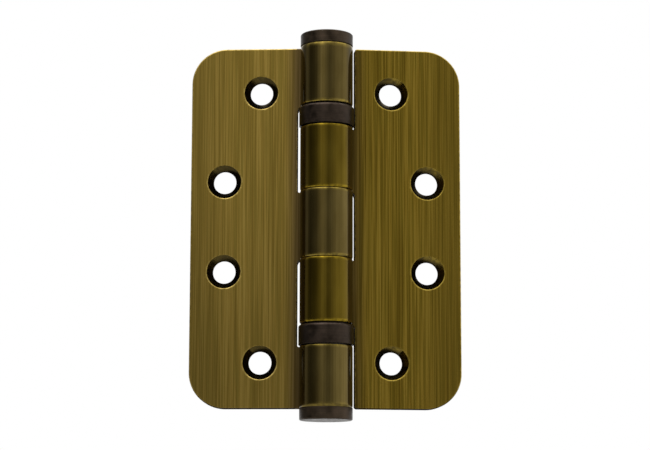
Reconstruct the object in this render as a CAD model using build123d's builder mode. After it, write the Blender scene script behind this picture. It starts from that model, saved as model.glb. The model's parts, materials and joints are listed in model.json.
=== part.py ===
"""Ball bearing hinge: two swaged leaves curled into five knuckles, a pin, two caps and two thrust bearings.

Frame: +Z runs up the pin, the three-knuckle leaf reaches to -X and the two-knuckle leaf to +X.
The countersunk faces look to -Y. The origin is on the pin's axis at half height. Millimetres.
"""

import os
from math import acos, asin, cos, degrees, pi, radians, sin, sqrt, tan

from build123d import *

# Leaves
leaf_height = 101.6
leaf_reach = 38.1
sheet = 3.0
corner_radius = 10.0
inner_corner_radius = 0.7
leaf_edge = 0.35
fold_back = 5.0
closed_gap = 2.5

# Knuckles, curled from the leaf's own sheet
end_knuckle = 17.0
middle_knuckle = 19.0
knuckle_gap = 0.2
knuckle_edge = 0.4
end_edge = 0.8
set_back_radius = 0.6
seam_gap = 0.2
cut_out_clearance = 0.65

# Countersunk holes, a zigzag of equal pitch
hole_diameter = 6.4
countersink_diameter = 9.4
countersink_angle = 90.0
hole_pitch = 25.4
near_hole_reach = 18.5
far_hole_reach = 28.7

# Pin and caps
pin_diameter = 8.6
pin_clearance = 0.05
cap_height = 3.4
cap_edge = 0.4
spigot_length = 5.0

# Thrust bearings
shell_proud = 0.2
shell_wall = 0.5
shell_web = 1.2
shell_shoulder = 0.8
shell_gap = 0.25
race_thickness = 2.5
race_clearance = 0.3
ball_diameter = 2.5
ball_count = 12
ball_sides = 10
ball_side_facets = 8
ball_clearance = 0.02

# Radii and heights that follow from the sizes above
pin_radius = pin_diameter / 2
bore_radius = pin_radius + pin_clearance
knuckle_radius = bore_radius + sheet
shell_radius = knuckle_radius + shell_proud
shell_inside = shell_radius - shell_wall
race_inside = pin_radius + race_clearance
race_outside = shell_inside - race_clearance
track_radius = (pin_radius + shell_inside) / 2
ball_radius = ball_diameter / 2
bearing_height = shell_web + ball_diameter + 2 * ball_clearance + race_thickness
leaf_end = leaf_height / 2
middle_end = middle_knuckle / 2
bearing_top = leaf_end - end_knuckle
bearing_bottom = bearing_top - bearing_height

# The curled section in a leaf's own plane: x outwards from the pin, y towards the leaf's back
front_face = closed_gap / 2
back_face = front_face + sheet
cut_out_edge = shell_radius + cut_out_clearance
neck_root = cut_out_edge + leaf_edge
bend_y = back_face + set_back_radius
bend_x = sqrt((knuckle_radius + set_back_radius) ** 2 - bend_y**2)
curl_start = degrees(acos(bend_x / (knuckle_radius + set_back_radius)))
curl_end = degrees(asin((front_face - seam_gap) / knuckle_radius))
curl_turn = 360 - curl_start + curl_end
bend_turn = 90 - curl_start


def leaf_section(side):
    """The section plane of the leaf on one side (1 for +X, -1 for -X), folded back from flat."""
    outwards = (side * cos(radians(fold_back)), sin(radians(fold_back)), 0)
    return Plane(origin=(0, 0, 0), x_dir=outwards, z_dir=(0, 0, side))


def curled_knuckle(section, low, high):
    """One finger of the sheet: its neck, the set-back bend and the curl round the pin, with broken rims.

    A rim at the hinge's end is broken wider than one between knuckles.
    """
    seam_start = Vector(bore_radius, 0).rotate(Axis.Z, curl_end)
    with BuildPart() as knuckle:
        with BuildSketch(section.offset(low * section.z_dir.Z)):
            with BuildLine():
                Line((neck_root, front_face), (bend_x, front_face))
                CenterArc((bend_x, bend_y), set_back_radius + sheet, -90, -bend_turn)
                CenterArc((0, 0), bore_radius, curl_start, curl_turn)
                PolarLine(seam_start, sheet, curl_end)
                CenterArc((0, 0), knuckle_radius, curl_end, -curl_turn)
                CenterArc((bend_x, bend_y), set_back_radius, -90 - bend_turn, bend_turn)
                Line((bend_x, back_face), (neck_root, back_face))
                Line((neck_root, back_face), (neck_root, front_face))
            make_face()
        extrude(amount=(high - low) * section.z_dir.Z)
        for end, height in ((0, low), (-1, high)):
            rims = knuckle.edges().filter_by(GeomType.CIRCLE).group_by(SortBy.LENGTH)[-1]
            width = end_edge if abs(height) == leaf_end else knuckle_edge
            chamfer(rims.sort_by(Axis.Z)[end], length=width)
    return knuckle.part


def hole_places():
    """Hole centres on a leaf: the end holes near the barrel, the middle ones near the outer edge."""
    reaches = (near_hole_reach, far_hole_reach, far_hole_reach, near_hole_reach)
    middle = (len(reaches) - 1) / 2
    return [(reach, (row - middle) * hole_pitch) for row, reach in enumerate(reaches)]


def swaged_leaf(side, knuckle_spans, inner_corners):
    """A leaf: its flat plate with rounded corners and countersunk holes, and its row of curled knuckles."""
    section = leaf_section(side)
    front = Plane(section.from_local_coords((0, front_face, 0)), section.x_dir, -section.y_dir)
    with BuildPart() as leaf:
        with BuildSketch(front) as outline:
            with Locations((cut_out_edge, 0)):
                Rectangle(leaf_reach - cut_out_edge, leaf_height, align=(Align.MIN, Align.CENTER))
            fillet(outline.vertices().group_by(Axis.X)[-1], radius=corner_radius)
            if inner_corners:
                fillet(outline.vertices().group_by(Axis.X)[0], radius=inner_corners)
        extrude(amount=-sheet)
        rims = leaf.faces().filter_by(Axis((0, 0, 0), section.y_dir)).edges()
        chamfer(rims, length=leaf_edge)
        for low, high in knuckle_spans:
            add(curled_knuckle(section, low, high))
        with Locations(front):
            with Locations(*hole_places()):
                CounterSinkHole(
                    hole_diameter / 2,
                    countersink_diameter / 2,
                    depth=sheet,
                    counter_sink_angle=countersink_angle,
                )
    return leaf


def mirrored(span):
    """The same span of heights below the middle."""
    low, high = span
    return -high, -low


def write(piece, name):
    """Label a finished piece and write its file."""
    piece.part.label = name
    export_step(piece.part, f"parts/{name}.step")


os.makedirs("parts", exist_ok=True)

# Leaves
end_span = (bearing_top, leaf_end)
inner_span = (middle_end + knuckle_gap, bearing_bottom)
three_knuckle_leaf = swaged_leaf(-1, [end_span, (-middle_end, middle_end), mirrored(end_span)], 0)
write(three_knuckle_leaf, "three_knuckle_leaf")
two_knuckle_leaf = swaged_leaf(1, [inner_span, mirrored(inner_span)], inner_corner_radius)
write(two_knuckle_leaf, "two_knuckle_leaf")

# Pin, held end to end between the spigots of the caps
pin_end = leaf_end - spigot_length
with BuildPart() as hinge_pin:
    with BuildSketch(Plane.XY.offset(-pin_end)):
        Circle(pin_radius)
    extrude(amount=2 * pin_end)
write(hinge_pin, "hinge_pin")

# Caps, each a flange on the barrel's end and a spigot down its bore
for name, side in (("top_cap", 1), ("bottom_cap", -1)):
    seat = Plane(origin=(0, 0, side * leaf_end), z_dir=(0, 0, side))
    with BuildPart() as cap:
        with BuildSketch(seat):
            Circle(knuckle_radius)
        extrude(amount=cap_height)
        chamfer(cap.faces().sort_by(Axis((0, 0, 0), seat.z_dir))[-1].edges(), length=cap_edge)
        with BuildSketch(seat):
            Circle(pin_radius)
        extrude(amount=-spigot_length)
    write(cap, name)

# Bearings, stacked down from their top faces: the shell's web is the upper race, a ring below the lower one
for place, top in (("upper", bearing_top), ("lower", -bearing_bottom)):
    web_under = top - shell_web
    race_top = top - bearing_height + race_thickness
    ball_height = web_under - ball_clearance - ball_radius

    with BuildPart() as bearing_shell:
        with BuildSketch(Plane.XY.offset(top)):
            Circle(shell_radius)
        extrude(amount=shell_gap - bearing_height)
        chamfer(bearing_shell.faces().sort_by(Axis.Z)[-1].edges(), length=shell_shoulder)
        with BuildSketch(Plane.XY.offset(web_under)):
            Circle(shell_inside)
        extrude(amount=-bearing_height, mode=Mode.SUBTRACT)
        with BuildSketch(Plane.XY.offset(top)):
            Circle(race_inside)
        extrude(amount=-shell_web, mode=Mode.SUBTRACT)
    write(bearing_shell, f"{place}_bearing_shell")

    with BuildPart() as bearing_race:
        with BuildSketch(Plane.XY.offset(race_top)):
            Circle(race_outside)
            Circle(race_inside, mode=Mode.SUBTRACT)
        extrude(amount=-race_thickness)
    write(bearing_race, f"{place}_bearing_race")

    # Each ball is a many-sided drum, broken at both rims to an octagon from the side
    ball_rim = ball_radius * (1 - tan(pi / ball_side_facets))
    for number, spot in enumerate(PolarLocations(track_radius, ball_count), start=1):
        with BuildPart() as ball:
            with BuildSketch(Plane(spot).offset(ball_height)):
                RegularPolygon(ball_radius, ball_sides, major_radius=False)
            extrude(amount=ball_radius, both=True)
            chamfer(ball.faces().filter_by(Axis.Z).edges(), length=ball_rim)
        write(ball, f"{place}_ball_{number}")
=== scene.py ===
"""Ball bearing door hinge: the finished surfaces of its pieces, and the stage that they are seen on.

Lengths are metres in the hinge's own frame. +Z runs up the pin, the three-knuckle leaf reaches to -X and the
two-knuckle leaf to +X. The countersunk faces look to -Y. The origin is on the pin's axis at half height.
"""

import json
from collections import namedtuple
from math import acos, asin, atan2, pi, radians, sin, sqrt, tan

import bmesh
import bpy
import numpy as np
from bpy.props import FloatProperty, FloatVectorProperty, PointerProperty
from bpy.types import Operator, Panel, PropertyGroup
from mathutils import Matrix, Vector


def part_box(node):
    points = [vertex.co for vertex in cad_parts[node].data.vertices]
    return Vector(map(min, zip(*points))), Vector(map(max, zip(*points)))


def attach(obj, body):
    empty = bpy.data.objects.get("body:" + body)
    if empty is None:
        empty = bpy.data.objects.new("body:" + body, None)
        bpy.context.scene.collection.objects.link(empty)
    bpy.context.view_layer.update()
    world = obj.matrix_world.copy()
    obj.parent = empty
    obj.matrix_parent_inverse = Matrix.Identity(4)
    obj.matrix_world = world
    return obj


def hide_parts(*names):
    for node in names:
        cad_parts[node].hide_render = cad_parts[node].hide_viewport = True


bl_info = {
    "name": "Ball Bearing Hinge",
    "version": (1, 0, 0),
    "blender": (4, 5, 0),
    "location": "3D View > Sidebar > Hinge",
    "description": "Finished surfaces for a ball bearing door hinge, around its fixed frame",
    "category": "Object",
}

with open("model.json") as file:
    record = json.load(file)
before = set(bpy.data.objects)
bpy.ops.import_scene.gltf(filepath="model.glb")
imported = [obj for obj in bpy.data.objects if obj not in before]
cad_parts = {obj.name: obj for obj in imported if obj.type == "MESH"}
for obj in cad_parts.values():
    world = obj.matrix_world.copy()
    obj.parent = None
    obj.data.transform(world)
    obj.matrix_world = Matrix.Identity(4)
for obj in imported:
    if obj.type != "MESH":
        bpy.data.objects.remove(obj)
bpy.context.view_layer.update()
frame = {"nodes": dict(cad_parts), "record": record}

# Places and sizes that the frame gives
MOUNTS = {mount["name"]: mount for mount in frame["record"]["mounts"]}
PIN_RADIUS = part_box("hinge_pin")[1].x
KNUCKLE_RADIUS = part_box("top_cap")[1].x
LEAF_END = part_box("three_knuckle_leaf")[1].z
UPPER_BEARING = (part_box("upper_bearing_race")[0].z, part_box("upper_bearing_shell")[1].z)

# Steps along the parts of a surface
ROUND_STEPS = 6
CORNER_STEPS = 24
EDGE_STEPS = 30
END_STEPS = 28
NECK_STEPS = 16
BEND_STEPS = 14
CURL_STEPS = 120
LATHE_STEPS = 144
BALL_STEPS = 24
TENT_STEPS = 72
FACE_ROWS = np.array([0, 0.02, 0.15, 0.5, 0.85, 0.98, 1])

# From the corner of a rounded edge to the next point on its flat, in radii of the edge
FLAT = 1 + 2 / ROUND_STEPS

# Points closer than this are one point, and edges that turn more than this stay sharp
WELD = 1e-7
SHARP = radians(50)

# Where the tent's panels hang and how far their light or shade spreads, in degrees right of the front
PANELS = {
    "left_strip": (-96, 9),
    "left_flag": (-76, 16),
    "front_left": (-19, 20),
    "front_right": (46, 30),
    "right": (96, 32),
    "high_left": (-45, 35),
}

# How the tent's light changes: round which degree, over how many, and from which share to which
LEFT_BY_HEIGHT = (12, 9, 0.55, 1.45)
RIGHT_BY_HEIGHT = (11, 2.5, 1.0, 0.76)
HIGH_BY_HEIGHT = (30, 8, 0.0, 1.0)
TOP_BY_HEIGHT = (48, 12, 0.0, 1.0)
BACK_BY_AZIMUTH = (140, 12, 0.0, 1.0)

# Faces of a leaf's rim that look down by more than this share are left dark, as painted shade
SHADED_UNDERSIDE = 0.4

# What a curl's end takes from its rims, and the share of wear and painted highlight that the barrel's bottom
# rim gets beside the others: less, as painted shade
SEAM_LOSS = 0.5
FOOT_WEAR_AND_HIGHLIGHT = 0.5

# Which side of a countersink is made light, outwards and up from the hole's centre: rubbed by the brush, and
# partly a painted reflection
RUBBED_AND_LIT_SIDE = (0.6, 0.8)

# Numbers of a leaf's finishes
BRUSHED, POLISHED, SUNK, OXIDE = range(4)

# Colour sockets of a mix node, which share their names with its other sockets
MIX_FROM, MIX_INTO, MIXED = 6, 7, 2


def length(name, description, default):
    """A length that a user can change, in metres."""
    return FloatProperty(
        name=name, description=description, default=default, unit="LENGTH", subtype="DISTANCE", precision=5
    )


def colour(name, description, default):
    """A colour that a user can change, as linear red, green and blue."""
    return FloatVectorProperty(
        name=name, description=description, default=default, subtype="COLOR", size=3, min=0.0, max=1.0
    )


def level(name, description, default, highest=1.0):
    """A plain number from 0 that a user can change."""
    return FloatProperty(
        name=name, description=description, default=default, subtype="FACTOR", min=0.0, max=highest
    )


def angle(name, description, degrees):
    """An angle that a user can change."""
    return FloatProperty(name=name, description=description, default=radians(degrees), subtype="ANGLE")


class LeafSizes(PropertyGroup):
    """Sizes of the sheet that both leaves are cut, swaged and curled from."""

    sheet: length("Sheet", "Thickness of the sheet", 0.003)
    reach: length("Reach", "From the pin's axis to a leaf's outer edge", 0.0381)
    corner: length("Corner", "Radius of a leaf's outer corners", 0.010)
    inner_corner: length("Inner corner", "Radius of the two-knuckle leaf's inner corners", 0.0007)
    edge: length("Edge", "Radius that a leaf's cut edges are rounded to", 0.00035)
    left_cut_out: length("Three-knuckle cut-out", "From the pin's axis to the edge of its cut-outs", 0.0082)
    right_cut_out: length("Two-knuckle cut-out", "From the pin's axis to the edge of its cut-outs", 0.00815)
    middle_knuckle: length("Middle knuckle", "Height of the three-knuckle leaf's middle knuckle", 0.019)
    knuckle_gap: length("Knuckle gap", "Gap between neighbouring knuckles", 0.0002)
    rim_depth: length("Rim depth", "How deep the knuckles' outer rims are rounded off", 0.0002)
    rim_height: length("Rim height", "How far along the barrel those rims reach", 0.0007)
    end_rim_depth: length("End rim depth", "The same depth at the hinge's top", 0.0003)
    end_rim_height: length("End rim height", "The same height at the hinge's two ends", 0.0011)
    notch_head: length("Notch head", "Radius in a cut-out's upper corner, at a knuckle's neck", 0.0015)
    notch_foot: length("Notch foot", "Radius in a cut-out's lower corner, at a knuckle's neck", 0.0006)
    pin_clearance: length("Pin clearance", "Gap between the pin and the curled sheet", 0.00005)
    set_back: length("Set-back", "Inside radius of the bend where the sheet turns into the barrel", 0.0006)
    seam_gap: length("Seam gap", "Gap between the curl's end and the sheet that it closes on", 0.0002)
    seam_edge: length("Seam edge", "Radius on the curl's end", 0.00025)
    countersink: length("Countersink", "Diameter of a countersink on the front face", 0.0096)
    countersink_rim: length("Countersink rim", "Radius on the rim of a countersink", 0.0003)
    hole_back_rim: length("Hole back rim", "Radius on a hole's rim at the leaf's back", 0.00025)
    # These also paint a reflection on that side of each countersink
    left_rub_and_glint: level("Three-knuckle rub", "How far the brush bares one side of its countersinks", 0.25)
    right_rub_and_glint: level("Two-knuckle rub", "How far the brush bares one side of its countersinks", 1.0)


class TurnedSizes(PropertyGroup):
    """Sizes of the turned and drawn pieces along the barrel."""

    cap_edge: length("Cap edge", "Radius on a cap's outer rim", 0.0004)
    cap_seat_edge: length("Cap seat edge", "Radius on the rim that a cap sits on the barrel with", 0.00015)
    spigot_edge: length("Spigot edge", "Radius on the end of a cap's spigot", 0.0003)
    shell_wall: length("Shell wall", "Wall of a bearing shell's skirt", 0.0005)
    shell_web: length("Shell web", "Thickness of a bearing shell's top, the upper race", 0.0012)
    shell_shoulder: length("Shell shoulder", "Radius of a bearing shell's drawn shoulder", 0.0008)
    shell_rim: length("Shell rim", "Radius on a bearing shell's other rims", 0.0001)
    shell_seat: length("Shell seat", "Radius of the raised seat on top of a bearing shell", 0.0062)
    shell_seat_height: length("Seat height", "How far that seat stands above the shell's shoulder", 0.00035)
    shell_swell: length("Shell swell", "How far a bearing shell stands out past its plain solid", 0.0001)
    shell_clearance: length("Shell clearance", "Gap between the pin and a bearing shell's web", 0.0003)


class Finishes(PropertyGroup):
    """Colours and surfaces of the hinge's materials."""

    left_brass: colour("Three-knuckle leaf", "Brushed antique brass of that leaf", (0.228, 0.156, 0.0325))
    right_brass: colour("Two-knuckle leaf", "Brushed antique brass of that leaf", (0.1625, 0.109, 0.0141))
    left_barrel: colour("Three-knuckle barrel", "Polished brass of its knuckles", (0.084, 0.061, 0.018))
    right_barrel: colour("Two-knuckle barrel", "Polished brass of its knuckles", (0.087, 0.059, 0.007))
    sunk_brass: colour("Sunk brass", "Darkened brass of the countersinks", (0.044, 0.033, 0.012))
    # Also paints the reflection on that side of the countersinks
    rubbed_and_glinting_brass: colour("Rubbed brass", "Brass bared on one side of the countersinks", (0.22, 0.155, 0.026))
    oxide: colour("Oxide", "Dark oxide on the cut edges and in the holes", (0.017, 0.013, 0.008))
    cap_bronze: colour("Cap bronze", "Dark bronze of the caps", (0.037, 0.027, 0.018))
    shell_bronze: colour("Shell bronze", "Darker bronze of the bearing shells", (0.026, 0.019, 0.014))
    steel: colour("Steel", "Ground steel of the pin and the balls", (0.55, 0.55, 0.56))
    # Near-black steel for the races, dark where they show under the shells' skirts
    race_steel: colour("Race steel", "Blackened and greased steel of the races", (0.030, 0.027, 0.024))
    brush_width: length("Brush line", "Width of a plain brush line", 0.00045)
    brush_stroke: length("Brush stroke", "Length of a plain brush line up the leaf", 0.060)
    fine_stroke: length("Fine stroke", "Length of a fine brush line up the leaf", 0.030)
    brushing: level("Brushing", "How far the brushed leaves stretch a highlight across the lines", 0.75)
    # Painted shade on the leaves beside the barrel: its colour, and the radii where it is darkest and where
    # it ends
    barrel_shade: colour("Tarnish", "Film on the leaves beside the barrel", (0.43, 0.42, 0.75))
    barrel_shade_near: length("Tarnish near", "Where that film is darkest, from the pin's axis", 0.0076)
    barrel_shade_far: length("Tarnish far", "Where that film ends, from the pin's axis", 0.0125)
    outer_dull: colour("Outer film", "Film on the leaves at their outer edges", (0.82, 0.82, 0.82))
    outer_near: length("Outer near", "Where that film begins, from the pin's axis", 0.024)
    outer_far: length("Outer far", "Where that film is darkest, from the pin's axis", 0.037)
    outer_calm: level("Outer calm", "How far the brush lines fade in that film", 0.4)
    left_calm: level("Three-knuckle calm", "How far that leaf's brush lines fade elsewhere", 0.22)
    right_calm: level("Two-knuckle calm", "How far that leaf's brush lines fade elsewhere", 0.0)
    # Painted shade: each leaf darkens towards its foot, where less light falls, between these heights
    left_foot_shade: colour("Three-knuckle foot", "Film on that leaf at its foot", (0.78, 0.78, 0.80))
    right_foot_shade: colour("Two-knuckle foot", "Film on that leaf at its foot", (0.90, 0.90, 0.92))
    foot_shade_low: length("Foot low", "Height where that film is darkest", -0.050)
    foot_shade_high: length("Foot high", "Height where that film ends", 0.020)


class StageSizes(PropertyGroup):
    """The camera's place and the light round the hinge."""

    camera_place: FloatVectorProperty(
        name="Camera", description="Its place", default=(-0.01783, -0.56913, -0.09365), unit="LENGTH"
    )
    pan: angle("Pan", "The camera's turn to the right", 1.757)
    tilt: angle("Tilt", "The camera's turn upwards", 9.341)
    roll: angle("Roll", "The camera's turn round its view", 0.142)
    lens: FloatProperty(name="Lens", description="Focal length", default=115.04, unit="CAMERA")
    floor_height: length("Floor", "Height of the floor under the hinge", -0.12)
    floor_reach: length("Floor reach", "Radius of the floor", 1.5)
    floor_colour: colour("Floor colour", "Pale colour of the floor", (0.55, 0.55, 0.55))
    tent_radius: length("Tent radius", "Radius of the light tent round the stage", 1.6)
    shade_glow: level("Shade glow", "Light from the unlit cloth of the tent", 0.19, 4.0)
    left_strip_glow: level("Left strip glow", "Light from a narrow strip at the left side", 0.26, 4.0)
    left_flag_glow: level("Left flag", "Light that a dark flag at the left side takes away", 0.06, 4.0)
    front_left_glow: level("Front left glow", "Light from the panel left of the camera", 0.87, 4.0)
    front_right_glow: level("Front right glow", "Light from the panel right of the camera", 0.93, 4.0)
    right_glow: level("Right glow", "Light from the panel at the right side", 1.45, 4.0)
    high_left_glow: level("High left glow", "Light from the panel high at the left", 1.3, 4.0)
    overhead_glow: level("Overhead glow", "Light from the top of the tent", 1.6, 4.0)


# Surfaces as grids of points


Patch = namedtuple("Patch", "grid finish wear")
# Its finish is one number or an array for its faces. Its wear, from 0 to 1, which also paints highlights, is
# one number or an array for its points.
Patch.__doc__ = """A grid of points (rows, columns, 3) whose last column joins its first.

Its finish is one number or an array for its faces. Its wear, from 0 to 1, is one number or an array for its
points.
"""


def run(start, end, steps):
    """Points spaced evenly on a straight line from start up to, but without, end."""
    part = np.arange(steps)[:, None] / steps
    return np.asarray(start) + part * (np.asarray(end) - np.asarray(start))


def arc(centre, radius, first, last, steps):
    """Points spaced evenly by angle round a centre, from the first angle up to, but without, the last."""
    turn = first + (last - first) * np.arange(steps) / steps
    return np.asarray(centre) + radius * rays(turn)


def rays(turn):
    """Unit directions (cos, sin) of an array of angles."""
    return np.stack([np.cos(turn), np.sin(turn)], -1)


def rounded(corners, radii):
    """A profile of straight runs with an arc at each corner whose radius isn't 0.

    At a corner whose sides open by w, an arc of radius r starts and ends r / tan(w/2) from the corner and
    its centre is r / sin(w/2) away. One more point just before it and one just after it keep the flats flat.
    """
    corners = np.asarray(corners, float)
    stretches = []
    for number, (corner, radius) in enumerate(zip(corners, radii)):
        if radius == 0:
            stretches.append(corner[None])
            continue
        before = corners[number - 1] - corner
        after = corners[(number + 1) % len(corners)] - corner
        before /= np.linalg.norm(before)
        after /= np.linalg.norm(after)
        opening = acos(before @ after)
        reach = radius / tan(opening / 2)
        middle = (before + after) / np.linalg.norm(before + after)
        centre = corner + middle * radius / sin(opening / 2)
        first = corner + before * reach - centre
        last = corner + after * reach - centre
        turn = pi - opening
        step = np.linspace(0, turn, ROUND_STEPS + 1)[:, None]
        bend = (np.sin(turn - step) * first + np.sin(step) * last) / sin(turn)
        spare = reach + radius / ROUND_STEPS
        stretches += [corner + before[None] * spare, centre + bend, corner + after[None] * spare]
    return np.concatenate(stretches)


def lathed(profile, worn_and_lit=0.0, steps=LATHE_STEPS):
    """A profile of (radius, height) points turned round the pin's axis, worn where the profile is.

    The point at angle a is (r cos a, r sin a, z).
    """
    turn = np.linspace(0, 2 * pi, steps, endpoint=False)
    out, up = profile[:, :1], profile[:, 1:]
    return Patch(np.stack([out * np.cos(turn), out * np.sin(turn), up + 0 * turn], -1), 0, worn_and_lit)


def sphere(centre, radius, steps):
    """A ball on a grid of polar angles p and turns a: centre + radius (sin p cos a, sin p sin a, cos p)."""
    polar = np.linspace(0, pi, steps // 2 + 1)
    ball = lathed(radius * rays(polar)[:, ::-1], steps=steps)
    return ball._replace(grid=np.asarray(centre) + ball.grid)


def quads(rows, columns):
    """Faces between neighbouring rows and columns of a grid whose points are numbered row by row."""
    column = np.arange(columns)
    row = np.arange(rows - 1)[:, None] * columns
    here, beside = row + column, row + (column + 1) % columns
    return np.stack([here, beside, beside + columns, here + columns], -1).reshape(-1, 4)


def surface(patches):
    """A mesh of patches whose shared points are merged, with every face turned outwards."""
    grids, finishes, wears = zip(*patches)
    sizes = [grid.shape[:2] for grid in grids]
    starts = np.cumsum([0] + [rows * columns for rows, columns in sizes[:-1]])
    points = np.concatenate([grid.reshape(-1, 3) for grid in grids])
    faces = [quads(*size) + start for size, start in zip(sizes, starts)]
    finish = [np.broadcast_to(given, (rows - 1, columns)) for given, (rows, columns) in zip(finishes, sizes)]
    wear = [np.broadcast_to(given, size) for given, size in zip(wears, sizes)]
    mesh = bpy.data.meshes.new("surface")
    mesh.from_pydata(points, [], np.concatenate(faces))
    mesh.polygons.foreach_set("material_index", np.concatenate([part.ravel() for part in finish]))
    worn_and_lit = mesh.attributes.new("wear", "FLOAT", "POINT")
    worn_and_lit.data.foreach_set("value", np.concatenate([part.ravel() for part in wear]))
    work = bmesh.new()
    work.from_mesh(mesh)
    bmesh.ops.remove_doubles(work, verts=work.verts, dist=WELD)
    bmesh.ops.recalc_face_normals(work, faces=work.faces)
    work.to_mesh(mesh)
    work.free()
    return mesh


def add_object(name, mesh, *finishes):
    """An object at the origin with a smooth mesh and its finishes."""
    for finish in finishes:
        mesh.materials.append(finish)
    mesh.shade_smooth()
    mesh.set_sharp_from_angle(angle=SHARP)
    made = bpy.data.objects.new(name, mesh)
    bpy.context.scene.collection.objects.link(made)
    return made


def add_piece(name, surfaces, finishes, body, node):
    """One finished piece of closed surfaces, riding on a body and standing for its node."""
    whole = bmesh.new()
    for part in surfaces:
        whole.from_mesh(part)
        bpy.data.meshes.remove(part)
    mesh = bpy.data.meshes.new(name)
    whole.to_mesh(mesh)
    whole.free()
    piece = add_object(name, mesh, *finishes)
    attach(piece, body)
    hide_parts(node)


# Leaves


class Leaf:
    """Where one leaf's sheet lies: its folded plane, its outline, its holes and its knuckles."""

    def __init__(self, sizes, side, body, cut_out, inner_corner, rub_and_glint):
        back = MOUNTS[body + "_back"]
        self.sizes = sizes
        self.body = body
        self.cut_out = cut_out
        self.inner_corner = inner_corner
        self.rub_and_glint = rub_and_glint
        self.through = np.array(back["axis"][:2])
        self.outwards = side * self.through[::-1] * (1, -1)
        self.back_face = float(self.through @ back["pos_m"][:2])
        self.front_face = self.back_face - sizes.sheet
        self.bore = PIN_RADIUS + sizes.pin_clearance
        self.neck_root = cut_out + sizes.edge
        self.hole_radius = MOUNTS[body + "_end_screws"]["dims"]["hole_r_mm"] / 1000
        rows = (("end", -1), ("middle", -1), ("middle", 1), ("end", 1))
        self.holes = [self.hole(row, end) for row, end in rows]
        between = [(low[1] + high[1]) / 2 for low, high in zip(self.holes, self.holes[1:])]
        self.levels = [-LEAF_END, *between, LEAF_END]

    def hole(self, row, end):
        """A hole's (outwards, up) centre, half a row's pitch up or down from its mount."""
        mount = MOUNTS[f"{self.body}_{row}_screws"]
        return float(self.outwards @ mount["pos_m"][:2]), end * mount["dims"]["pcd_mm"] / 2000

    def place(self, out, back, up):
        """The frame's points for distances outwards from the pin, towards the leaf's back, and up."""
        out, back, up = np.broadcast_arrays(out, back, up)
        flat = out[..., None] * self.outwards + back[..., None] * self.through
        return np.concatenate([flat, up[..., None]], -1)

    def runs(self, inset):
        """The outline drawn in by an inset, as stretches of (outwards, up) points that follow on.

        Gives the low side, the outer edge between the levels, the high side and the inner edge between the
        levels. Every corner keeps its centre, and its radius is less by the inset.
        """
        sizes = self.sizes
        outer, inner, end = sizes.reach - inset, self.cut_out + inset, LEAF_END - inset
        wide, tight = sizes.corner - inset, self.inner_corner - inset
        wide_out, wide_up = sizes.reach - sizes.corner, LEAF_END - sizes.corner
        tight_out, tight_up = self.cut_out + self.inner_corner, LEAF_END - self.inner_corner
        low = np.concatenate([
            arc((tight_out, -tight_up), tight, pi, 1.5 * pi, ROUND_STEPS),
            run((tight_out, -end), (wide_out, -end), END_STEPS),
            arc((wide_out, -wide_up), wide, -0.5 * pi, 0, CORNER_STEPS),
        ])
        high = np.concatenate([
            arc((wide_out, wide_up), wide, 0, 0.5 * pi, CORNER_STEPS),
            run((wide_out, end), (tight_out, end), END_STEPS),
            arc((tight_out, tight_up), tight, 0.5 * pi, pi, ROUND_STEPS),
        ])
        out_levels = np.clip(self.levels, -wide_up, wide_up)
        in_levels = np.clip(self.levels, -tight_up, tight_up)
        up = [run((outer, a), (outer, b), EDGE_STEPS) for a, b in zip(out_levels, out_levels[1:])]
        down = [run((inner, b), (inner, a), EDGE_STEPS) for a, b in zip(in_levels, in_levels[1:])]
        return low, up, high, down

    def outline(self, inset):
        """The closed outline drawn in by an inset."""
        low, up, high, down = self.runs(inset)
        return np.concatenate([low, *up, high, *down[::-1]])

    def borders(self):
        """The closed border of each stretch of the flat face between levels, one round each hole."""
        low, up, high, down = self.runs(self.sizes.edge)
        inner, outer = self.neck_root, self.sizes.reach - self.sizes.edge
        floors = [low] + [run((inner, rise), (outer, rise), END_STEPS) for rise in self.levels[1:-1]]
        roofs = [run((outer, rise), (inner, rise), END_STEPS) for rise in self.levels[1:-1]] + [high]
        return [np.concatenate(border) for border in zip(floors, up, roofs, down)]


def edge_section(leaf):
    """The section of a leaf's cut edge from front to back: a quarter round, a dark flat and a quarter round.

    At angle a each round lies edge (1 - sin a) in from the outline and edge (1 - cos a) from its face. Gives
    the insets, the distances towards the back, how worn each is and the finish between them.
    """
    edge = leaf.sizes.edge
    turn = np.linspace(0, pi / 2, ROUND_STEPS + 1)
    inset, depth = edge * (1 - np.sin(turn)), edge * (1 - np.cos(turn))
    flat = edge * FLAT
    insets = np.concatenate([inset, [0, 0], inset[::-1]])
    backs = np.concatenate([
        leaf.front_face + depth,
        [leaf.front_face + flat, leaf.back_face - flat],
        leaf.back_face - depth[::-1],
    ])
    worn_and_lit = np.concatenate([np.sin(2 * turn), [0, 0], np.sin(2 * turn)])
    finish = np.repeat([BRUSHED, OXIDE, BRUSHED], [ROUND_STEPS, 3, ROUND_STEPS])
    return insets, backs, worn_and_lit, finish


def hole_sections(leaf):
    """The section of a countersunk hole as (radius, towards the back) points, in three stretches.

    A rounded rim on the front face, a cone at 45 degrees that runs into the straight hole, and a rounded
    rim at the leaf's back. The far corners only give the rims their direction.
    """
    sizes = leaf.sizes
    rim, narrow = sizes.countersink / 2, leaf.hole_radius
    front, back = leaf.front_face, leaf.back_face
    far = rim + 4 * sizes.countersink_rim
    corners = [(far, front), (rim, front), (narrow, front + rim - narrow), (narrow, back), (far, back)]
    section = rounded(corners, [0, sizes.countersink_rim, sizes.countersink_rim / 2, sizes.hole_back_rim, 0])
    arc_points = ROUND_STEPS + 3
    front_rim, back_rim = section[1:1 + arc_points], section[-1 - arc_points:-1]
    return front_rim, section[arc_points:-arc_points], back_rim


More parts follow.
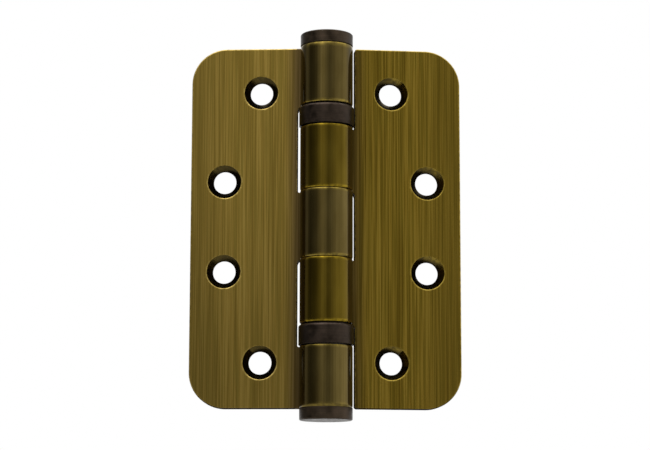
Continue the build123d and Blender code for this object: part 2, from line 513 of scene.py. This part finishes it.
def plate_patches(leaf):
    """A leaf's flat plate with its holes.

    The rim is the edge's section carried round the outline, dark and unworn where it looks down. Each
    countersink's rim is worn most at its foot, and its cone is rubbed light on one side. On the faces, the
    point at share t of the way from hole to border is h + t (b - h), where b is a border point and h the
    hole's rim in the same direction.
    """
    insets, backs, worn_and_lit, finish = edge_section(leaf)
    outlines = np.stack([leaf.outline(inset) for inset in insets])
    rim = leaf.place(outlines[..., 0], backs[:, None], outlines[..., 1])
    edge = leaf.sizes.edge
    downwards = np.clip(leaf.outline(edge) - leaf.outline(0), 0, edge)[:, 1] / edge
    sideways = 1 - (insets[1:] + insets[:-1]) / 2 / edge
    # Painted shade: rim faces that look down get the dark oxide and lose their wear and highlight
    rim_finish = np.where(sideways[:, None] * downwards > SHADED_UNDERSIDE, OXIDE, finish[:, None])
    patches = [Patch(rim, rim_finish, worn_and_lit[:, None] * (1 - downwards))]
    front_rim, wall, back_rim = hole_sections(leaf)
    wall_finish = np.repeat([SUNK, OXIDE], [1, len(wall) - 2])[:, None]
    rim_worn_and_lit = np.sin(np.linspace(pi / 4, pi, len(front_rim)))[:, None]
    cone_worn_and_lit = (wall[:, :1] - leaf.hole_radius) / (wall[0, 0] - leaf.hole_radius)
    for border, centre in zip(leaf.borders(), leaf.holes):
        ray = border - centre
        far = np.linalg.norm(ray, axis=1, keepdims=True)
        ray = ray / far

        def round_hole(radius, back, finish, wear):
            """A patch at radii round the hole's centre, in the directions of the border's points."""
            spots = np.asarray(centre) + ray * radius
            return Patch(leaf.place(spots[..., 0], back, spots[..., 1]), finish, wear)

        # Painted reflection: one side of each countersink's cone is lightened, as well as rubbed
        rub_and_highlight = leaf.rub_and_glint * np.clip(ray @ RUBBED_AND_LIT_SIDE, 0, 1) ** 2
        # Painted highlight: each countersink's rim is lightest on its lower side, which faces the light, on
        # top of its wear
        rim_wear_and_highlight = rim_worn_and_lit * (0.5 - 0.5 * ray[:, 1])
        rim_wear_and_highlight[-1] = rub_and_highlight
        patches.append(round_hole(front_rim[:, None, :1], front_rim[:, 1:], BRUSHED, rim_wear_and_highlight))
        patches.append(round_hole(wall[:, None, :1], wall[:, 1:], wall_finish, cone_worn_and_lit * rub_and_highlight))
        patches.append(round_hole(back_rim[:, None, :1], back_rim[:, 1:], BRUSHED, 0.0))
        for radius, back in (front_rim[0], back_rim[-1]):
            spread = radius + FACE_ROWS[:, None, None] * (far - radius)
            patches.append(round_hole(spread, back, BRUSHED, 0.0))
    return patches


def curl_path(leaf):
    """The sheet's front face down the neck, round the set-back bend and round the pin.

    Gives its (outwards, back) points, the direction through the sheet at each, how far the knuckle's own
    rims have grown from the plate's edge, from 0 to 1, and how far the section is drawn in at its end.
    """
    sizes = leaf.sizes
    barrel = leaf.bore + sizes.sheet
    bend_back = leaf.back_face + sizes.set_back
    bend_out = sqrt((barrel + sizes.set_back) ** 2 - bend_back**2)
    first = atan2(bend_back, bend_out)
    end_step = np.linspace(0, pi / 2, ROUND_STEPS + 1)
    end_turn = sizes.seam_edge / (leaf.bore + sizes.sheet / 2)
    last = 2 * pi + asin((leaf.front_face - sizes.seam_gap) / barrel) - end_turn

    neck = run((leaf.neck_root, leaf.front_face), (bend_out, leaf.front_face), NECK_STEPS)
    bent = np.arange(BEND_STEPS) / BEND_STEPS
    bend_ray = rays(-pi / 2 - (pi / 2 - first) * bent)
    curl_turn = first + (last - first) * np.arange(CURL_STEPS) / CURL_STEPS
    curl_ray = rays(np.concatenate([curl_turn, last + end_turn * np.sin(end_step)]))

    bend = np.array([bend_out, bend_back]) + (sizes.set_back + sizes.sheet) * bend_ray
    points = np.concatenate([neck, bend, leaf.bore * curl_ray])
    through = np.concatenate([np.tile((0.0, 1.0), (NECK_STEPS, 1)), -bend_ray, curl_ray])
    grown = np.concatenate([np.zeros(NECK_STEPS), bent**2 * (3 - 2 * bent), np.ones(len(curl_ray))])
    drawn = np.zeros(len(points))
    drawn[-len(end_step):] = sizes.seam_edge * (1 - np.cos(end_step))
    return points, through, grown[:, None], drawn[:, None]


def rim_arc(before, after):
    """How far a rounded rim's points lie from its corner, along the face that leads in and the one after it.

    The rim is a quarter of an ellipse: at angle a they are before (1 - sin a) and after (1 - cos a), with
    one more point on each flat.
    """
    turn = np.linspace(0, pi / 2, ROUND_STEPS + 1)
    leading = np.concatenate([before * FLAT, before * (1 - np.sin(turn)), 0 * before], 1)
    leaving = np.concatenate([0 * after, after * (1 - np.cos(turn)), after * FLAT], 1)
    return leading, leaving


def at_end(height):
    """Whether a height is the hinge's top or bottom."""
    return abs(abs(height) - LEAF_END) < WELD


def knuckle_patches(leaf, low, high):
    """One knuckle: the sheet's section carried along the curl's path.

    The section is a rectangle with rounded rims and dark cut ends. A point of it that lies n through the
    sheet stands at p + n d, where p is the path's point and d the direction through the sheet there.
    """
    sizes = leaf.sizes
    points, through, grown, drawn = curl_path(leaf)

    def rim(height):
        """The outer rim's depth and height along the path, at the knuckle's end of that height."""
        deep = sizes.end_rim_depth if height == LEAF_END else sizes.rim_depth
        tall = sizes.end_rim_height if at_end(height) else sizes.rim_height
        left = 1 - SEAM_LOSS * drawn / sizes.seam_edge
        return [left * (sizes.edge + grown * (full - sizes.edge)) for full in (deep, tall)]

    def carried(depth, up):
        """Points of the section that lie a depth through the sheet at a height."""
        return leaf.place(points[:, :1] + depth * through[:, :1], points[:, 1:] + depth * through[:, 1:], up)

    def flare(height, notch):
        """How far the neck widens along the path at that end, a quarter round of the notch's radius."""
        into = np.clip(points[:, :1] - leaf.cut_out + notch, 0, notch)
        return 0 if at_end(height) else notch - np.sqrt(notch**2 - into**2)

    inner = rim_arc(sizes.edge - drawn, sizes.edge - drawn)
    above, below = rim_arc(*rim(high)), rim_arc(*rim(low)[::-1])
    far_side = sizes.sheet - drawn
    bottom, top = low + drawn - flare(low, sizes.notch_head), high - drawn + flare(high, sizes.notch_foot)
    depth = np.concatenate([drawn + inner[0], drawn + inner[1], far_side - above[0], far_side - below[1]], 1)
    up = np.concatenate([bottom + inner[1], top - inner[0], top - above[1], bottom + below[0]], 1)
    half = sizes.sheet / 2
    grid = carried(depth, up)
    spine = carried(half, np.clip(up, low + half, high - half))
    # The outer rims at the knuckles' ends are lightened for wear and a painted highlight; the hinge's bottom
    # rim gets less, as painted shade
    rub_and_highlight = np.sin(np.linspace(0, pi / 2, ROUND_STEPS + 3))
    kept = np.zeros_like(rub_and_highlight)
    foot = rub_and_highlight * (FOOT_WEAR_AND_HIGHLIGHT if low == -LEAF_END else 1.0)
    worn_and_lit = np.concatenate([kept, kept, rub_and_highlight[::-1], foot])
    cut_end = np.isin(np.arange(len(worn_and_lit)), (len(worn_and_lit) // 2 - 1, len(worn_and_lit) - 1))
    curled = NECK_STEPS + BEND_STEPS
    return [
        Patch(grid[:curled + 1], np.where(cut_end, OXIDE, BRUSHED), worn_and_lit),
        Patch(grid[curled:], np.where(cut_end, OXIDE, POLISHED), worn_and_lit),
        Patch(np.stack([spine[0], grid[0]]), BRUSHED, 0.0),
        Patch(np.stack([grid[-1], spine[-1]]), OXIDE, 0.0),
    ]


# Finishes


class Finish:
    """A material under way, with short calls for the nodes that the finishes share."""

    def __init__(self, name):
        self.material = bpy.data.materials.new(name)
        self.material.use_nodes = True
        self.tree = self.material.node_tree
        self.shader = self.tree.nodes["Principled BSDF"]
        self.shader.inputs["Metallic"].default_value = 1.0
        self.place = self.add("ShaderNodeTexCoord").outputs["Object"]

    def add(self, kind, **settings):
        """A new node with its settings."""
        node = self.tree.nodes.new(kind)
        for setting, value in settings.items():
            setattr(node, setting, value)
        return node

    def put(self, source, node, socket):
        """Link an output to a node's input, or set that input to a number."""
        if isinstance(source, bpy.types.NodeSocket):
            self.tree.links.new(source, node.inputs[socket])
        else:
            node.inputs[socket].default_value = source

    def grain(self, size, detail):
        """Noise from 0 to 1 whose spots are about size = (x, y, z) long."""
        mapping = self.add("ShaderNodeMapping")
        self.put(self.place, mapping, "Vector")
        self.put([1 / side for side in size], mapping, "Scale")
        noise = self.add("ShaderNodeTexNoise")
        self.put(mapping.outputs["Vector"], noise, "Vector")
        self.put(1.0, noise, "Scale")
        self.put(detail, noise, "Detail")
        return noise.outputs[0]

    def radius(self):
        """The distance from the pin's axis."""
        flat = self.add("ShaderNodeVectorMath", operation="MULTIPLY")
        self.put(self.place, flat, 0)
        self.put((1, 1, 0), flat, 1)
        span = self.add("ShaderNodeVectorMath", operation="LENGTH")
        self.put(flat.outputs[0], span, 0)
        return span.outputs["Value"]

    def height(self):
        """The height in the hinge's frame."""
        node = self.add("ShaderNodeSeparateXYZ")
        self.put(self.place, node, "Vector")
        return node.outputs["Z"]

    def rings(self, width):
        """Noise from 0 to 1 in rings of about that width round the pin's axis."""
        noise = self.add("ShaderNodeTexNoise", noise_dimensions="1D")
        self.put(self.radius(), noise, "W")
        self.put(1 / width, noise, "Scale")
        return noise.outputs[0]

    def total(self, *terms):
        """The sum of outputs, each times its weight."""
        made = 0.0
        for source, weight in terms:
            node = self.add("ShaderNodeMath", operation="MULTIPLY_ADD")
            self.put(source, node, 0)
            self.put(weight, node, 1)
            self.put(made, node, 2)
            made = node.outputs[0]
        return made

    def ramp(self, source, shade, *stops):
        """A colour times factors along a ramp, whose stops are (place, red, green, blue)."""
        node = self.add("ShaderNodeValToRGB")
        self.put(source, node, "Fac")
        elements = node.color_ramp.elements
        while len(elements) < len(stops):
            elements.new(1.0)
        for element, (place, *factors) in zip(elements, stops):
            element.position = place
            element.color = (*tinted(shade, *factors), 1.0)
        return node.outputs["Color"]

    def spread(self, source, low, high, first=0.3, last=0.7):
        """A value that goes smoothly from low to high as its source goes from first to last."""
        node = self.add("ShaderNodeMapRange", interpolation_type="SMOOTHSTEP")
        self.put(source, node, "Value")
        for socket, value in zip(("From Min", "From Max", "To Min", "To Max"), (first, last, low, high)):
            self.put(value, node, socket)
        return node.outputs["Result"]

    def mixed(self, kind, factor, shade, other):
        """A colour that another one mixes into, the way that its kind says, as a factor goes from 0 to 1."""
        node = self.add("ShaderNodeMix", data_type="RGBA", blend_type=kind)
        self.put(factor, node, "Factor")
        self.put(shade, node, MIX_FROM)
        self.put((*other, 1.0), node, MIX_INTO)
        return node.outputs[MIXED]

    def worn_and_lit(self, shade, bare_and_lit):
        """A colour that wears in patches to a bare one where the mesh says so."""
        wear = self.add("ShaderNodeAttribute", attribute_name="wear")
        patches = self.add("ShaderNodeMath", operation="MULTIPLY", use_clamp=True)
        self.put(wear.outputs["Fac"], patches, 0)
        self.put(self.spread(self.grain((0.0012, 0.0012, 0.0012), 3.0), 0.3, 1.4), patches, 1)
        return self.mixed("MIX", patches.outputs[0], shade, bare_and_lit)

    def coat(self, shade, source, low, high):
        """Give the shader its colour, and a roughness that goes from low to high with a source."""
        self.put(shade, self.shader, "Base Color")
        self.put(self.spread(source, low, high), self.shader, "Roughness")

    def relief(self, source, height):
        """Bump of that height, in metres."""
        node = self.add("ShaderNodeBump")
        self.put(source, node, "Height")
        self.put(height, node, "Distance")
        self.put(node.outputs["Normal"], self.shader, "Normal")


def tinted(shade, *factors):
    """A colour times a factor for red, green and blue."""
    return tuple(float(value) for value in np.clip(np.array(shade) * factors, 0, 1))


def brushed_brass(name, shade, calm, foot_shade, look):
    """Antique brass brushed up its height: fine lines, plain lines and broad dull bands.

    It is lighter on worn edges, darkens to tarnish beside the barrel, where a brush doesn't reach, and is
    duller and calmer towards the outer edge and duller towards the foot.
    """
    finish = Finish(name)
    width, stroke = look.brush_width, look.brush_stroke
    fine = finish.grain((width / 2, width / 2, look.fine_stroke), 1.0)
    lines = finish.grain((width, width, stroke), 2.0)
    bands = finish.grain((6 * width, 6 * width, 2 * stroke), 2.0)
    tone = finish.total((fine, 0.36), (lines, 0.38), (bands, 0.26))
    dark, dull = (0.42, 0.66, 0.63, 0.48), (0.475, 0.88, 0.93, 0.80)
    plain, bright = (0.525, 1.10, 1.03, 0.90), (0.58, 1.40, 1.41, 1.50)
    metal = finish.ramp(tone, shade, dark, dull, plain, bright)
    radius = finish.radius()
    fade = finish.spread(radius, calm, look.outer_calm, look.outer_near, look.outer_far)
    metal = finish.mixed("MIX", fade, metal, shade)
    # Painted shade beside the barrel, a duller film towards the outer edge, and painted shade towards the
    # foot
    for source, none, full, film in (
        (radius, look.barrel_shade_far, look.barrel_shade_near, look.barrel_shade),
        (radius, look.outer_near, look.outer_far, look.outer_dull),
        (finish.height(), look.foot_shade_high, look.foot_shade_low, foot_shade),
    ):
        metal = finish.mixed("MULTIPLY", finish.spread(source, 0.0, 1.0, none, full), metal, film)
    finish.coat(finish.worn_and_lit(metal, tinted(shade, 2.5, 2.7, 3.8)), lines, 0.33, 0.43)
    finish.put(look.brushing, finish.shader, "Anisotropic")
    tangent = finish.add("ShaderNodeTangent", direction_type="RADIAL", axis="Z")
    finish.put(tangent.outputs["Tangent"], finish.shader, "Tangent")
    finish.relief(fine, 0.000004)
    return finish.material


def polished_brass(name, shade, bare_and_lit, look):
    """Polished antique brass with a clouded patina and faint lines up it, bare where it is worn."""
    finish = Finish(name)
    width, stroke = look.brush_width, look.brush_stroke
    lines = finish.grain((width, width, stroke), 2.0)
    clouds = finish.grain((0.004, 0.004, 0.012), 3.0)
    tone = finish.total((lines, 0.5), (clouds, 0.5))
    metal = finish.ramp(tone, shade, (0.36, 0.78, 0.76, 0.70), (0.50, 1, 1, 1), (0.64, 1.22, 1.24, 1.30))
    finish.coat(finish.worn_and_lit(metal, bare_and_lit), clouds, 0.10, 0.17)
    finish.relief(lines, 0.000001)
    return finish.material


def dark_oxide(name, shade):
    """Dull dark oxide that the brush leaves on the sheet's cut edges and in its holes."""
    finish = Finish(name)
    specks = finish.grain((0.0005, 0.0005, 0.0005), 3.0)
    metal = finish.ramp(specks, shade, (0.35, 0.6, 0.6, 0.6), (0.65, 1.6, 1.5, 1.4))
    finish.coat(metal, specks, 0.45, 0.65)
    finish.put(0.0, finish.shader, "Metallic")
    finish.put(0.0, finish.shader, "Specular IOR Level")
    return finish.material


def dark_bronze(name, shade):
    """Dark bronzed steel with fine turning lines round it and a mottled film, lighter where it is rubbed."""
    finish = Finish(name)
    turning = finish.grain((0.02, 0.02, 0.00018), 2.0)
    facing = finish.rings(0.00025)
    film = finish.grain((0.002, 0.002, 0.002), 4.0)
    tone = finish.total((turning, 0.3), (facing, 0.2), (film, 0.5))
    metal = finish.ramp(tone, shade, (0.34, 0.55, 0.52, 0.50), (0.50, 1, 1, 1), (0.66, 1.55, 1.50, 1.50))
    finish.coat(finish.worn_and_lit(metal, tinted(shade, 2.2, 2.2, 2.3)), film, 0.29, 0.45)
    finish.relief(finish.total((turning, 0.6), (facing, 0.4)), 0.000003)
    return finish.material


def ground_steel(name, shade):
    """Ground bearing steel with fine grinding lines and a thin film of grease."""
    finish = Finish(name)
    grinding = finish.grain((0.01, 0.01, 0.00012), 2.0)
    grease = finish.grain((0.0012, 0.0012, 0.0012), 3.0)
    metal = finish.ramp(grease, shade, (0.35, 0.75, 0.72, 0.66), (0.65, 1, 1, 1))
    finish.coat(metal, grease, 0.12, 0.26)
    finish.relief(grinding, 0.000001)
    return finish.material


# Operators


class HINGE_OT_make_leaves(Operator):
    """Make both leaves: brushed plates with countersunk holes, and the knuckles curled from them"""

    bl_idname = "hinge.make_leaves"
    bl_label = "Make the leaves"

    def execute(self, context):
        sizes, look = context.scene.hinge_leaf, context.scene.hinge_finish
        bearing_low, bearing_high = UPPER_BEARING
        half, gap = sizes.middle_knuckle / 2, sizes.knuckle_gap
        ends = [(bearing_high, LEAF_END), (-half, half), (-LEAF_END, -bearing_high)]
        inners = [(half + gap, bearing_low), (-bearing_low, -half - gap)]
        sunk = polished_brass("countersink_brass", look.sunk_brass, look.rubbed_and_glinting_brass, look)
        oxide = dark_oxide("cut_edge_oxide", look.oxide)
        left = Leaf(sizes, -1, "fixed_leaf", sizes.left_cut_out, sizes.edge, sizes.left_rub_and_glint)
        right = Leaf(sizes, 1, "swing_leaf", sizes.right_cut_out, sizes.inner_corner, sizes.right_rub_and_glint)
        left_plate = look.left_brass, look.left_calm, look.left_foot_shade
        right_plate = look.right_brass, look.right_calm, look.right_foot_shade
        for leaf, name, knuckles, plate, barrel in (
            (left, "three_knuckle", ends, left_plate, look.left_barrel),
            (right, "two_knuckle", inners, right_plate, look.right_barrel),
        ):
            surfaces = [surface(plate_patches(leaf))]
            surfaces += [surface(knuckle_patches(leaf, low, high)) for low, high in knuckles]
            finishes = [
                brushed_brass(f"{name}_brushed_brass", *plate, look),
                polished_brass(f"{name}_polished_brass", barrel, tinted(barrel, 3.0, 3.0, 2.0), look),
                sunk,
                oxide,
            ]
            node = f"{name}_leaf"
            add_piece(f"{name}_sheet", surfaces, finishes, leaf.body, node)
        return {"FINISHED"}


class HINGE_OT_make_caps(Operator):
    """Make the two end caps, each a flange with a rounded rim on a spigot that plugs the barrel"""

    bl_idname = "hinge.make_caps"
    bl_label = "Make the caps"

    def execute(self, context):
        sizes, look = context.scene.hinge_turned, context.scene.hinge_finish
        bronze = dark_bronze("cap_bronze", look.cap_bronze)
        low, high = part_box("top_cap")
        corners = [
            (0, high.z), (KNUCKLE_RADIUS, high.z), (KNUCKLE_RADIUS, LEAF_END),
            (PIN_RADIUS, LEAF_END), (PIN_RADIUS, low.z), (0, low.z),
        ]
        radii = [0, sizes.cap_edge, sizes.cap_seat_edge, 0, sizes.spigot_edge, 0]
        profile = rounded(corners, radii)
        for name, side in (("top_cap", 1), ("bottom_cap", -1)):
            turned = [surface([lathed(profile * (1, side))])]
            add_piece(f"{name}_turned", turned, [bronze], "fixed_leaf", name)
        return {"FINISHED"}


class HINGE_OT_make_bearing_shells(Operator):
    """Make the two bearing shells, each a web with a raised seat, a drawn shoulder and a thin skirt"""

    bl_idname = "hinge.make_bearing_shells"
    bl_label = "Make the bearing shells"

    def execute(self, context):
        sizes, look = context.scene.hinge_turned, context.scene.hinge_finish
        bronze = dark_bronze("shell_bronze", look.shell_bronze)
        bore, seat = PIN_RADIUS + sizes.shell_clearance, sizes.shell_seat
        for place, body in (("upper", "fixed_leaf"), ("lower", "swing_leaf")):
            node = f"{place}_bearing_shell"
            low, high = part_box(node)
            web, shoulder = high.z - sizes.shell_web, high.z - sizes.shell_seat_height
            outside, skirt = high.x + sizes.shell_swell, high.x - sizes.shell_wall
            corners = [
                (bore, high.z), (seat, high.z), (seat, shoulder), (outside, shoulder),
                (outside, low.z), (skirt, low.z), (skirt, web), (bore, web),
            ]
            radii = [sizes.shell_rim] * len(corners)
            bend = corners.index((outside, shoulder))
            radii[bend] = sizes.shell_shoulder
            profile = rounded(corners, radii)
            profile = np.concatenate([profile, profile[:1]])
            # Painted highlight: the wear attribute lightens the drawn shoulder, together with its wear
            away = np.linalg.norm(profile - corners[bend], axis=1, keepdims=True)
            drawn = [surface([lathed(profile, np.exp(-((away / sizes.shell_shoulder) ** 4)))])]
            add_piece(f"{node}_drawn", drawn, [bronze], body, node)
        return {"FINISHED"}


class HINGE_OT_make_bearing_balls(Operator):
    """Make the bearing balls, each a true sphere where its ball is"""

    bl_idname = "hinge.make_bearing_balls"
    bl_label = "Make the bearing balls"

    def execute(self, context):
        steel = ground_steel("ball_steel", context.scene.hinge_finish.steel)
        for body in ("upper_balls", "lower_balls"):
            for node in frame["record"]["behaviour"]["bodies"][body]:
                low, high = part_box(node)
                ball = [surface([sphere((low + high) / 2, (high.z - low.z) / 2, BALL_STEPS)])]
                add_piece(f"{node}_ground", ball, [steel], body, node)
        return {"FINISHED"}


class HINGE_OT_finish_pin_and_races(Operator):
    """Give the pin and the two bearing races their ground steel"""

    bl_idname = "hinge.finish_pin_and_races"
    bl_label = "Finish the pin and the races"

    def execute(self, context):
        look = context.scene.hinge_finish
        pin, race = ground_steel("pin_steel", look.steel), ground_steel("race_steel", look.race_steel)
        for node, steel in (("hinge_pin", pin), ("upper_bearing_race", race), ("lower_bearing_race", race)):
            materials = frame["nodes"][node].data.materials
            materials.clear()
            materials.append(steel)
        return {"FINISHED"}


def tent_glow(points, stage):
    """How bright the tent is at each of its points, from the direction in which it lies.

    Round the sides it is dim cloth with a bell of light at each panel, and of shade at the flag, by azimuth
    to the right of the front. The front left panel grows brighter with height and the right ones dimmer. One
    more hangs high at the left, the top glows by itself, and the back fades to plain white.
    """
    azimuth = np.arctan2(points[:, 0], -points[:, 1])
    height = np.arcsin(np.clip(points[:, 2] / stage.tent_radius, -1, 1))

    def panel(name):
        """A bell of light: glow exp(-((azimuth - middle) / width)^2)."""
        middle, width = np.radians(PANELS[name])
        return getattr(stage, f"{name}_glow") * np.exp(-(((azimuth - middle) / width) ** 2))

    def change(angles, middle, width, before, after):
        """A share that goes from before to after as tanh((angle - middle) / width) goes from -1 to 1."""
        bend = np.tanh((angles - radians(middle)) / radians(width))
        return before + (after - before) * (0.5 + 0.5 * bend)

    left = panel("front_left") * change(height, *LEFT_BY_HEIGHT)
    right = (panel("front_right") + panel("right")) * change(height, *RIGHT_BY_HEIGHT)
    high = panel("high_left") * change(height, *HIGH_BY_HEIGHT)
    side = stage.shade_glow + panel("left_strip") - panel("left_flag") + left + right + high
    top = stage.overhead_glow * change(height, *TOP_BY_HEIGHT)
    back = change(np.abs(azimuth), *BACK_BY_AZIMUTH)
    return (1 - back) * side + top + back


class HINGE_OT_set_stage(Operator):
    """Set the pale floor, the light tent, the white background and the camera"""

    bl_idname = "hinge.set_stage"
    bl_label = "Set the stage"

    def execute(self, context):
        scene, stage = context.scene, context.scene.hinge_stage
        self.lay_floor(stage)
        self.hang_tent(stage)
        self.light_background(scene)
        self.place_camera(scene, stage)
        scene.view_settings.view_transform = "Standard"
        return {"FINISHED"}

    def lay_floor(self, stage):
        """A wide pale disc: the point at radius r and angle a is (r cos a, r sin a, height)."""
        profile = np.array([(0, stage.floor_height), (stage.floor_reach, stage.floor_height)])
        pale = bpy.data.materials.new("pale_floor")
        pale.use_nodes = True
        shader = pale.node_tree.nodes["Principled BSDF"]
        shader.inputs["Base Color"].default_value = (*stage.floor_colour, 1.0)
        shader.inputs["Roughness"].default_value = 0.8
        add_object("floor", surface([lathed(profile)]), pale)

    def hang_tent(self, stage):
        """A glowing sphere round the stage, which the camera looks through."""
        mesh = surface([sphere((0, 0, 0), stage.tent_radius, TENT_STEPS)])
        points = np.empty(len(mesh.vertices) * 3)
        mesh.vertices.foreach_get("co", points)
        glow = mesh.attributes.new("glow", "FLOAT", "POINT")
        glow.data.foreach_set("value", tent_glow(points.reshape(-1, 3), stage))
        cloth = bpy.data.materials.new("tent_cloth")
        cloth.use_nodes = True
        nodes, links = cloth.node_tree.nodes, cloth.node_tree.links
        nodes.remove(nodes["Principled BSDF"])
        light = nodes.new("ShaderNodeEmission")
        bright = nodes.new("ShaderNodeAttribute")
        bright.attribute_name = "glow"
        links.new(bright.outputs["Fac"], light.inputs["Strength"])
        links.new(light.outputs["Emission"], nodes["Material Output"].inputs["Surface"])
        tent = add_object("light_tent", mesh, cloth)
        tent.visible_camera = False

    def light_background(self, scene):
        """A plain white world."""
        world = bpy.data.worlds.new("white_background")
        world.use_nodes = True
        background = world.node_tree.nodes["Background"]
        background.inputs["Color"].default_value = (1, 1, 1, 1)
        background.inputs["Strength"].default_value = 1.0
        scene.world = world

    def place_camera(self, scene, stage):
        """The camera at its place: turned right by the pan, up by the tilt, then by the roll."""
        view = Matrix.Rotation(-stage.pan, 4, "Z") @ Matrix.Rotation(pi / 2 + stage.tilt, 4, "X")
        view = view @ Matrix.Rotation(stage.roll, 4, "Z")
        data = bpy.data.cameras.new("camera")
        data.lens = stage.lens
        camera = bpy.data.objects.new("camera", data)
        camera.matrix_world = Matrix.Translation(stage.camera_place) @ view
        scene.collection.objects.link(camera)
        scene.camera = camera


class HINGE_PT_pieces(Panel):
    """The hinge's pieces and the sizes and colours that they take"""

    bl_label = "Ball bearing hinge"
    bl_idname = "HINGE_PT_pieces"
    bl_space_type = "VIEW_3D"
    bl_region_type = "UI"
    bl_category = "Hinge"

    def draw(self, context):
        for group in GROUPS:
            settings = getattr(context.scene, group)
            box = self.layout.box()
            for name in settings.__annotations__:
                box.prop(settings, name)
        for operator in OPERATORS:
            self.layout.operator(operator.bl_idname)


GROUPS = {
    "hinge_leaf": LeafSizes,
    "hinge_turned": TurnedSizes,
    "hinge_finish": Finishes,
    "hinge_stage": StageSizes,
}
OPERATORS = (
    HINGE_OT_make_leaves,
    HINGE_OT_make_caps,
    HINGE_OT_make_bearing_shells,
    HINGE_OT_make_bearing_balls,
    HINGE_OT_finish_pin_and_races,
    HINGE_OT_set_stage,
)
CLASSES = (*GROUPS.values(), *OPERATORS, HINGE_PT_pieces)


def register():
    for item in CLASSES:
        bpy.utils.register_class(item)
    for group, settings in GROUPS.items():
        setattr(bpy.types.Scene, group, PointerProperty(type=settings))


def unregister():
    for group in GROUPS:
        delattr(bpy.types.Scene, group)
    for item in reversed(CLASSES):
        bpy.utils.unregister_class(item)


def main():
    """Register the classes, make every piece and the stage, and write both boxes."""
    register()
    bpy.ops.hinge.make_leaves()
    bpy.ops.hinge.make_caps()
    bpy.ops.hinge.make_bearing_shells()
    bpy.ops.hinge.make_bearing_balls()
    bpy.ops.hinge.finish_pin_and_races()
    bpy.ops.hinge.set_stage()


if __name__ == "__main__":
    main()
